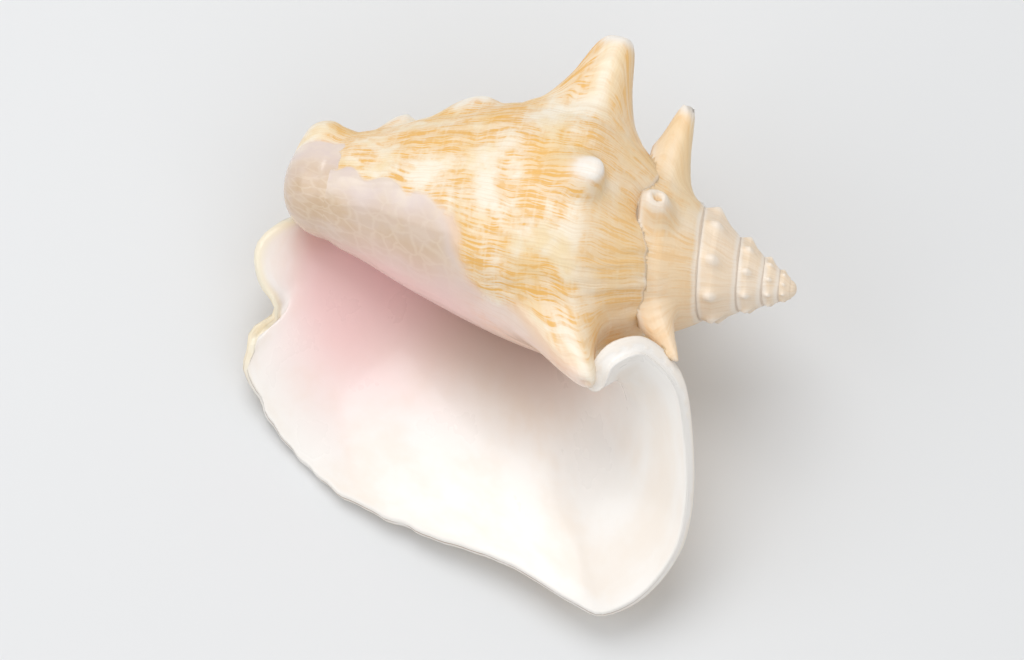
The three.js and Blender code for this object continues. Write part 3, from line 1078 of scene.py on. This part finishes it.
class Graph:
    """A node tree with short ways to add and wire its nodes."""

    def __init__(self, tree: bpy.types.NodeTree) -> None:
        """Starts on a tree."""
        self.tree = tree

    def add(self, kind: str, **settings: object) -> bpy.types.Node:
        """Adds a node.

        Args:
            kind: The node's type.
            settings: Values for its properties.

        Returns:
            The node.
        """
        node = self.tree.nodes.new(kind)
        for name, value in settings.items():
            setattr(node, name, value)
        return node

    def feed(self, target: Socket, value: Value) -> None:
        """Gives an input its value.

        Args:
            target: The input.
            value: A socket to link to it, or a plain value to set.
        """
        if isinstance(value, bpy.types.NodeSocket):
            self.tree.links.new(value, target)
        else:
            target.default_value = value

    def math(self, operation: str, *values: Value, clamp: bool = False) -> Socket:
        """Adds a math node.

        Args:
            operation: What it works out.
            values: What it works on.
            clamp: Whether the outcome is kept between 0 and 1.

        Returns:
            The outcome.
        """
        node = self.add("ShaderNodeMath", operation=operation, use_clamp=clamp)
        for target, value in zip(node.inputs, values):
            self.feed(target, value)
        return node.outputs[0]

    def times(self, *values: Value) -> Socket:
        """Multiplies.

        Args:
            values: Two or more values.

        Returns:
            Their product.
        """
        product = values[0]
        for value in values[1:]:
            product = self.math("MULTIPLY", product, value)
        return product

    def span(self, value: Value, low: float, high: float, start: float = 0.0, end: float = 1.0) -> Socket:
        """Eases from one value to another.

        Args:
            value: What the outcome depends on.
            low: Where the easing starts.
            high: Where it ends. It may be less than low.
            start: The outcome at low.
            end: The outcome at high.

        Returns:
            The outcome.
        """
        node = self.add("ShaderNodeMapRange", interpolation_type="SMOOTHSTEP")
        if low > high:
            low, high, start, end = high, low, end, start
        ends = {"From Min": low, "From Max": high, "To Min": start, "To Max": end}
        for name, given in {"Value": value, **ends}.items():
            self.feed(node.inputs[name], given)
        return node.outputs["Result"]

    def place(self, x: Value, y: Value, z: Value = 0.0) -> Socket:
        """Puts three values together.

        Args:
            x: First value.
            y: Second value.
            z: Third value.

        Returns:
            The vector.
        """
        node = self.add("ShaderNodeCombineXYZ")
        for target, value in zip(node.inputs, (x, y, z)):
            self.feed(target, value)
        return node.outputs[0]

    def noise(
        self, x: Value, y: Value, wide: float, tall: float, detail: float = 2.0, seed: float = 0.0
    ) -> Socket:
        """Adds noise over two marks.

        Args:
            x: First mark, in millimetres.
            y: Second mark, in millimetres.
            wide: Size of the features along the first mark.
            tall: Size of the features along the second mark.
            detail: How many finer layers there are.
            seed: Which of the endless patterns to use.

        Returns:
            A value around 0.5 that wanders between 0 and 1.
        """
        spot = self.place(self.math("DIVIDE", x, wide), self.math("DIVIDE", y, tall), seed)
        node = self.add("ShaderNodeTexNoise")
        for name, value in (("Vector", spot), ("Scale", 1.0), ("Detail", detail), ("Roughness", 0.55)):
            self.feed(node.inputs[name], value)
        return node.outputs["Fac"]

    def cells(self, x: Value, y: Value, size: float) -> Socket:
        """Adds a net of cells over two marks.

        Args:
            x: First mark, in millimetres.
            y: Second mark, in millimetres.
            size: Size of one cell.

        Returns:
            The distance to the cell's border, in shares of its size.
        """
        node = self.add("ShaderNodeTexVoronoi", feature="DISTANCE_TO_EDGE")
        spot = self.place(self.math("DIVIDE", x, size), self.math("DIVIDE", y, size))
        self.feed(node.inputs["Vector"], spot)
        self.feed(node.inputs["Scale"], 1.0)
        return node.outputs["Distance"]

    def blend(self, share: Value, under: Value, over: Value) -> Socket:
        """Lays one colour on another.

        Args:
            share: How much the upper colour covers, from 0 to 1.
            under: The lower colour.
            over: The upper colour.

        Returns:
            The blended colour.
        """
        node = self.add("ShaderNodeMix", data_type="RGBA")
        for index, value in ((0, share), (6, under), (7, over)):
            if isinstance(value, tuple):
                value = (*value, 1.0)
            self.feed(node.inputs[index], value)
        return node.outputs[2]

    def mark(self, name: str) -> Socket:
        """Returns one of the marks stored on the mesh."""
        return self.add("ShaderNodeAttribute", attribute_name=name).outputs["Fac"]


class MarkGroup:
    """A node group that reads some of the marks and puts out masks and heights."""

    def __init__(self, name: str, inputs: tuple[str, ...], outputs: tuple[str, ...]) -> None:
        """Starts an empty group.

        Args:
            name: Name of the group.
            inputs: Names of the marks that it reads.
            outputs: Names of what it puts out.
        """
        self.tree = bpy.data.node_groups.new(name, "ShaderNodeTree")
        for title in inputs:
            self.tree.interface.new_socket(title, in_out="INPUT", socket_type="NodeSocketFloat")
        for title in outputs:
            self.tree.interface.new_socket(title, in_out="OUTPUT", socket_type="NodeSocketFloat")
        self.graph = Graph(self.tree)
        self.entry = self.tree.nodes.new("NodeGroupInput")
        self.exit = self.tree.nodes.new("NodeGroupOutput")

    def put_out(self, **values: Socket) -> bpy.types.NodeTree:
        """Links the group's outputs.

        Args:
            values: What each output is fed with, by its name.

        Returns:
            The finished group.
        """
        for name, value in values.items():
            self.graph.feed(self.exit.inputs[name], value)
        return self.tree

    @staticmethod
    def use(graph: Graph, tree: bpy.types.NodeTree, **values: Value) -> Outputs:
        """Adds a group to a graph.

        Args:
            graph: Where it is added.
            tree: The group.
            values: What each input is fed with, by its name.

        Returns:
            The group's outputs.
        """
        node = graph.add("ShaderNodeGroup", node_tree=tree)
        for name, value in values.items():
            graph.feed(node.inputs[name], value)
        return node.outputs


def growth_streaks() -> bpy.types.NodeTree:
    """Draws golden dashes along the growth lines, crossed by pale spiral bands.

    Returns:
        The group.
    """
    group = MarkGroup("growth_streaks", ("Growth", "Across"), ("Gold", "Lines", "Height"))
    g, across = group.graph, group.entry.outputs["Across"]
    drift = g.noise(group.entry.outputs["Growth"], across, 38.0, 30.0, seed=4.0)
    growth = g.math("ADD", group.entry.outputs["Growth"], g.math("MULTIPLY", drift, 13.0))
    dashes = g.span(g.noise(growth, across, 1.25, 21.0, detail=4.0), 0.47, 0.62)
    flecks = g.span(g.noise(growth, across, 3.4, 6.5, detail=4.0, seed=9.0), 0.48, 0.66)
    patches = g.span(g.noise(growth, across, 22.0, 22.0, detail=5.0, seed=2.0), 0.38, 0.57)
    spiral = g.math("SINE", g.math("ADD", g.math("MULTIPLY", across, 1.3), g.math("MULTIPLY", drift, 6.0)))
    bands = g.span(spiral, 0.5, 0.95, 1.0, 0.62)
    gold = g.times(g.math("MAXIMUM", dashes, g.times(flecks, 0.45)), patches, bands)
    gold = g.math("ADD", gold, g.times(patches, 0.38), clamp=True)
    lines = g.noise(growth, across, 0.8, 26.0, detail=4.0, seed=6.0)
    cords = g.span(g.math("SINE", g.math("MULTIPLY", across, 4.2)), -1.0, 1.0)
    height = g.math("ADD", g.times(lines, 0.6), g.times(cords, 0.05))
    return group.put_out(Gold=gold, Lines=lines, Height=height)


def callus_mottle() -> bpy.types.NodeTree:
    """Draws the pale net under the glaze, and its clouds.

    Returns:
        The group.
    """
    group = MarkGroup("callus_mottle", ("Growth", "Across"), ("Net", "Clouds"))
    g, growth, across = group.graph, group.entry.outputs["Growth"], group.entry.outputs["Across"]
    drift = g.noise(growth, across, 9.0, 9.0, detail=2.0, seed=1.0)
    moved = g.math("ADD", growth, g.math("MULTIPLY", drift, 8.0))
    border = g.cells(moved, g.math("ADD", across, g.math("MULTIPLY", drift, 6.0)), 8.5)
    net = g.span(border, 0.0, 0.14, 1.0, 0.0)
    clouds = g.noise(growth, across, 24.0, 20.0, detail=4.0, seed=3.0)
    return group.put_out(Net=net, Clouds=clouds)


def rim_layers() -> bpy.types.NodeTree:
    """Draws the thin brown lines and layered steps along the lip's edge.

    Returns:
        The group.
    """
    group = MarkGroup("rim_layers", ("Edge", "Across"), ("Line", "Height"))
    g, edge, across = group.graph, group.entry.outputs["Edge"], group.entry.outputs["Across"]
    wander = g.noise(0.0, across, 40.0, 11.0, detail=4.0, seed=7.0)
    moved = g.math("ADD", edge, wander)
    away = g.math("ABSOLUTE", g.math("SUBTRACT", moved, 1.1))
    middle = g.times(g.span(across, 26.0, 44.0), g.span(across, 136.0, 122.0))
    line = g.times(g.span(away, 0.1, 0.36, 1.0, 0.0), g.span(wander, 0.36, 0.5), middle)
    steps = g.noise(moved, across, 0.5, 22.0, detail=3.0, seed=8.0)
    return group.put_out(Line=line, Height=g.times(steps, g.span(edge, 1.0, 5.0, 1.0, 0.0)))


class Tint(Enum):
    """The shell's colours."""

    CREAM = (0.92, 0.84, 0.70)
    SAND = (0.88, 0.71, 0.45)
    GOLD = (0.82, 0.44, 0.08)
    LINE = (0.72, 0.48, 0.24)
    SPIRE = (0.86, 0.73, 0.60)
    RAMP = (0.84, 0.60, 0.34)
    WORN = (0.90, 0.88, 0.85)
    GLAZE = (0.80, 0.68, 0.58)
    LILAC = (0.72, 0.60, 0.56)
    TAN = (0.63, 0.46, 0.31)
    NET = (0.74, 0.60, 0.45)
    PINK = (0.88, 0.60, 0.57)
    PORCELAIN = (0.89, 0.86, 0.82)
    BEIGE = (0.82, 0.70, 0.58)
    ROSE = (0.87, 0.57, 0.56)
    # Dark rose-brown deep in the throat: partly the shell's own colour, partly painted shade in the recess.
    THROAT = (0.56, 0.31, 0.26)
    IVORY = (0.90, 0.81, 0.62)
    HAIRLINE = (0.36, 0.23, 0.13)
    SEAM = (0.40, 0.24, 0.13)
    AMBER = (0.78, 0.50, 0.25)
    # Dark brown of a broken thorn's hollow: painted shade of its depth, partly the pit's own brown.
    HOLLOW = (0.24, 0.17, 0.11)


@dataclass(frozen=True)
class ShellFinish:
    """The shell's colours and gloss, from the marks on its surface."""

    name: str = "shell"
    bump_depth: float = 0.0005
    bump_strength: float = 0.8
    coat_roughness: float = 0.08
    ior: float = 1.53

    def build(self) -> bpy.types.Material:
        """Builds the material.

        Returns:
            The material.
        """
        material = bpy.data.materials.new(self.name)
        material.use_nodes = True
        g = Graph(material.node_tree)
        marks = {name: g.mark(name) for name in MARKS}
        streaks = MarkGroup.use(g, growth_streaks(), Growth=marks["growth"], Across=marks["across"])
        mottle = MarkGroup.use(g, callus_mottle(), Growth=marks["growth"], Across=marks["across"])
        rim = MarkGroup.use(g, rim_layers(), Edge=marks["edge"], Across=marks["across"])
        glaze = self.glaze(g, marks, mottle)
        shiny = g.math("MAXIMUM", g.times(glaze, 0.9), g.times(marks["inner"], 0.6))
        uneven = g.times(g.math("SUBTRACT", mottle["Clouds"], 0.5), 0.22)
        matt = g.span(g.math("MAXIMUM", glaze, marks["inner"]), 0.0, 1.0, 1.0, 0.06)
        waves = g.times(mottle["Clouds"], g.span(marks["inner"], 0.0, 1.0, 0.5, 0.2))
        height = g.math("ADD", g.times(streaks["Height"], matt), waves)
        bumps = g.add("ShaderNodeBump")
        g.feed(bumps.inputs["Height"], g.math("ADD", height, rim["Height"]))
        bumps.inputs["Distance"].default_value = self.bump_depth
        bumps.inputs["Strength"].default_value = self.bump_strength
        shader = material.node_tree.nodes["Principled BSDF"]
        g.feed(shader.inputs["Base Color"], self.colour(g, marks, streaks, mottle, rim, glaze))
        g.feed(shader.inputs["Roughness"], g.math("ADD", g.span(shiny, 0.0, 1.0, 0.48, 0.2), uneven))
        g.feed(shader.inputs["Coat Weight"], g.times(shiny, 0.35))
        g.feed(shader.inputs["Normal"], bumps.outputs["Normal"])
        shader.inputs["Coat Roughness"].default_value = self.coat_roughness
        shader.inputs["IOR"].default_value = self.ior
        return material

    @staticmethod
    def glaze(g: Graph, marks: dict[str, Socket], mottle: Outputs) -> Socket:
        """Finds where the outside is glazed: with a crisp edge in front and a smeared one behind.

        Args:
            g: Where the nodes are added.
            marks: The marks by name.
            mottle: The glaze's clouds.

        Returns:
            1 on the glaze, 0 off it.
        """
        soft = g.span(marks["across"], 80.0, 122.0, 8.0, 1.2)
        smeared = g.span(marks["across"], 88.0, 122.0, 44.0, 0.0)
        smear = g.times(g.math("SUBTRACT", mottle["Clouds"], 0.5), smeared)
        far = g.math("DIVIDE", g.math("ADD", marks["callus"], smear), soft)
        return g.times(g.span(far, -0.4, 1.0), g.math("SUBTRACT", 1.0, marks["inner"]))

    def colour(
        self, g: Graph, marks: dict[str, Socket], streaks: Outputs, mottle: Outputs, rim: Outputs,
        glaze: Socket,
    ) -> Socket:
        """Lays the shell's colours over each other, from the bare outside up to the lip's edge.

        Args:
            g: Where the nodes are added.
            marks: The marks by name.
            streaks: The golden dashes.
            mottle: The glaze's net and clouds.
            rim: The lines along the lip's edge.
            glaze: Where the outside is glazed.

        Returns:
            The colour.
        """
        thin_glaze = g.times(glaze, g.span(marks["across"], 58.0, 92.0, 0.6, 1.0))
        colour = g.blend(thin_glaze, self.back(g, marks, streaks, mottle), self.glazed(g, marks, mottle))
        colour = self.seam(g, marks, mottle, colour)
        colour = g.blend(g.span(marks["worn"], 0.0, 0.95, 0.0, 0.8), colour, Tint.WORN.value)
        # Painted shade: dark brown in the hollows of broken thorn tips, partly their own brown.
        colour = g.blend(g.span(marks["worn"], -0.25, -0.8, 0.0, 0.9), colour, Tint.HOLLOW.value)
        colour = g.blend(marks["inner"], colour, self.inside(g, marks, mottle))
        near_edge = g.span(marks["edge"], 2.0, 6.0, 1.0, 0.0)
        lobe = g.span(marks["across"], 118.0, 140.0)
        edge = g.blend(lobe, Tint.PORCELAIN.value, Tint.IVORY.value)
        colour = g.blend(g.times(near_edge, 0.85), colour, edge)
        return g.blend(g.times(rim["Line"], 0.8), colour, Tint.HAIRLINE.value)

    @staticmethod
    def back(g: Graph, marks: dict[str, Socket], streaks: Outputs, mottle: Outputs) -> Socket:
        """Colours the unglazed outside.

        Args:
            g: Where the nodes are added.
            marks: The marks by name.
            streaks: The golden dashes.
            mottle: The clouds.

        Returns:
            The colour.
        """
        ground = g.blend(g.span(mottle["Clouds"], 0.4, 0.66), Tint.CREAM.value, Tint.SAND.value)
        on_body = g.span(marks["growth"], -330.0, -120.0, 0.25, 0.95)
        gold = g.times(streaks["Gold"], on_body)
        colour = g.blend(g.times(gold, 0.96), ground, Tint.GOLD.value)
        ramp = g.times(g.span(marks["across"], 26.0, 40.0, 1.0, 0.0), 0.45)
        colour = g.blend(ramp, colour, Tint.RAMP.value)
        spire = g.span(marks["growth"], -60.0, -200.0, 0.0, 0.65)
        colour = g.blend(spire, colour, Tint.SPIRE.value)
        return g.blend(g.span(streaks["Lines"], 0.45, 0.7, 0.0, 0.3), colour, Tint.LINE.value)

    @staticmethod
    def glazed(g: Graph, marks: dict[str, Socket], mottle: Outputs) -> Socket:
        """Colours the glaze on the front of the body whorl.

        Args:
            g: Where the nodes are added.
            marks: The marks by name.
            mottle: The net and the clouds.

        Returns:
            The colour.
        """
        body = g.blend(g.span(mottle["Clouds"], 0.35, 0.65), Tint.GLAZE.value, Tint.LILAC.value)
        front = g.span(marks["across"], 62.0, 104.0)
        cells = g.blend(g.times(mottle["Net"], 0.5), Tint.TAN.value, Tint.NET.value)
        inward = g.span(marks["callus"], 3.0, 16.0)
        body = g.blend(g.times(front, inward, g.span(mottle["Clouds"], 0.36, 0.62, 1.0, 0.62)), body, cells)
        amber = g.times(g.span(marks["across"], 105.0, 75.0), g.span(marks["callus"], 12.0, 2.0))
        body = g.blend(g.times(amber, 0.8), body, Tint.AMBER.value)
        pink = g.times(g.span(marks["growth"], 78.0, 34.0), g.span(marks["across"], 158.0, 112.0, 0.1, 1.0))
        return g.blend(g.times(pink, 0.9), body, Tint.PINK.value)

    @staticmethod
    def seam(g: Graph, marks: dict[str, Socket], mottle: Outputs, colour: Socket) -> Socket:
        """Adds the sutures' pale borders and dark lines.

        Args:
            g: Where the nodes are added.
            marks: The marks by name.
            mottle: The clouds.
            colour: The colour so far.

        Returns:
            The colour with the sutures.
        """
        near = g.math("ADD", marks["seam"], g.times(g.math("SUBTRACT", mottle["Clouds"], 0.5), 3.0))
        colour = g.blend(g.span(near, 0.9, 2.6, 0.4, 0.0), colour, Tint.WORN.value)
        return g.blend(g.span(near, 0.0, 0.6, 0.35, 0.0), colour, Tint.SEAM.value)

    @staticmethod
    def inside(g: Graph, marks: dict[str, Socket], mottle: Outputs) -> Socket:
        """Colours the aperture, from the throat to the lip.

        Args:
            g: Where the nodes are added.
            marks: The marks by name.
            mottle: The clouds.

        Returns:
            The colour.
        """
        lip = g.blend(g.span(marks["growth"], 300.0, 350.0), Tint.BEIGE.value, Tint.PORCELAIN.value)
        lip = g.blend(g.times(g.span(mottle["Clouds"], 0.4, 0.7), 0.5), lip, Tint.BEIGE.value)
        fore = g.times(g.span(marks["across"], 62.0, 125.0), g.span(marks["growth"], 386.0, 335.0))
        lip = g.blend(g.times(fore, 0.9), lip, Tint.ROSE.value)
        # Deep in the throat the colour darkens to rose-brown: partly the shell's own rose, partly painted
        # shade.
        deep = g.span(marks["growth"], 338.0, 282.0)
        throat = g.blend(g.span(marks["across"], 66.0, 118.0), Tint.THROAT.value, Tint.ROSE.value)
        return g.blend(deep, lip, throat)


# ---- Studio


@dataclass(frozen=True)
class Studio:
    """A plain pale floor, soft light and the camera."""

    floor_half: float = 3.0
    lens: float = 85.0
    distance: float = 1.015
    tilt: float = 10.0
    roll: float = 13.0
    target: tuple[float, float, float] = (-113.0, -42.0, 0.0)

    def floor(self) -> bpy.types.Object:
        """Adds the floor.

        Returns:
            The floor.
        """
        deselect()
        bpy.ops.mesh.primitive_plane_add(size=2 * self.floor_half, location=(0, 0, 0))
        floor = bpy.context.object
        floor.name = "floor"
        material = bpy.data.materials.new("pale_floor")
        material.use_nodes = True
        shader = material.node_tree.nodes["Principled BSDF"]
        shader.inputs["Base Color"].default_value = (0.75, 0.76, 0.77, 1)
        shader.inputs["Roughness"].default_value = 0.8
        floor.data.materials.append(material)
        return floor

    def camera(self, shell: ConchShell) -> bpy.types.Object:
        """Places the camera over the aperture.

        Args:
            shell: The finished shell.

        Returns:
            The camera.
        """
        tilt, roll = math.radians(self.tilt), math.radians(self.roll)
        along = Vector((math.cos(tilt), 0, -math.sin(tilt)))
        upward = Vector((0, 1, 0))
        back = Vector((math.sin(tilt), 0, math.cos(tilt)))
        right = math.cos(roll) * along + math.sin(roll) * upward
        up = -math.sin(roll) * along + math.cos(roll) * upward
        turn = shell.coil.rotation()
        axes = Matrix((turn @ right, turn @ up, turn @ back)).transposed()
        data = bpy.data.cameras.new("camera")
        data.lens = self.lens
        data.clip_start, data.clip_end = 0.05, 20.0
        camera = bpy.data.objects.new("camera", data)
        bpy.context.collection.objects.link(camera)
        place = axes.to_4x4()
        place.translation = shell.place(Vector(self.target)) + turn @ back * self.distance
        camera.matrix_world = place
        bpy.context.scene.camera = camera
        return camera

    def lights(self) -> None:
        """Adds the soft lights and the pale surroundings."""
        for name, place, size, power in (
            ("key", (-0.35, 0.55, 1.75), 1.3, 13.8),
            ("fill", (0.8, -0.9, 1.3), 1.6, 6.0),
            ("side", (-1.3, -0.6, 1.1), 1.4, 7.0),
        ):
            data = bpy.data.lights.new(name, "AREA")
            data.shape, data.size, data.energy = "DISK", size, power
            light = bpy.data.objects.new(name, data)
            light.location = place
            light.rotation_mode = "QUATERNION"
            light.rotation_quaternion = Vector(place).to_track_quat("Z", "Y")
            bpy.context.collection.objects.link(light)
        world = bpy.data.worlds.new("surroundings")
        world.use_nodes = True
        world.node_tree.nodes["Background"].inputs["Color"].default_value = (0.95, 0.95, 0.95, 1)
        world.node_tree.nodes["Background"].inputs["Strength"].default_value = 0.55
        bpy.context.scene.world = world
        bpy.context.scene.view_settings.view_transform = "Standard"


def main() -> None:
    """Builds the shell and its studio."""
    logging.basicConfig(level=logging.INFO, format="%(name)s: %(message)s")
    shell = ConchShell()
    piece = shell.build()
    piece.data.materials.clear()
    piece.data.materials.append(ShellFinish().build())
    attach(piece, "root")
    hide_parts("conch_shell")
    studio = Studio()
    studio.floor()
    studio.camera(shell)
    studio.lights()


if __name__ == "__main__":
    main()
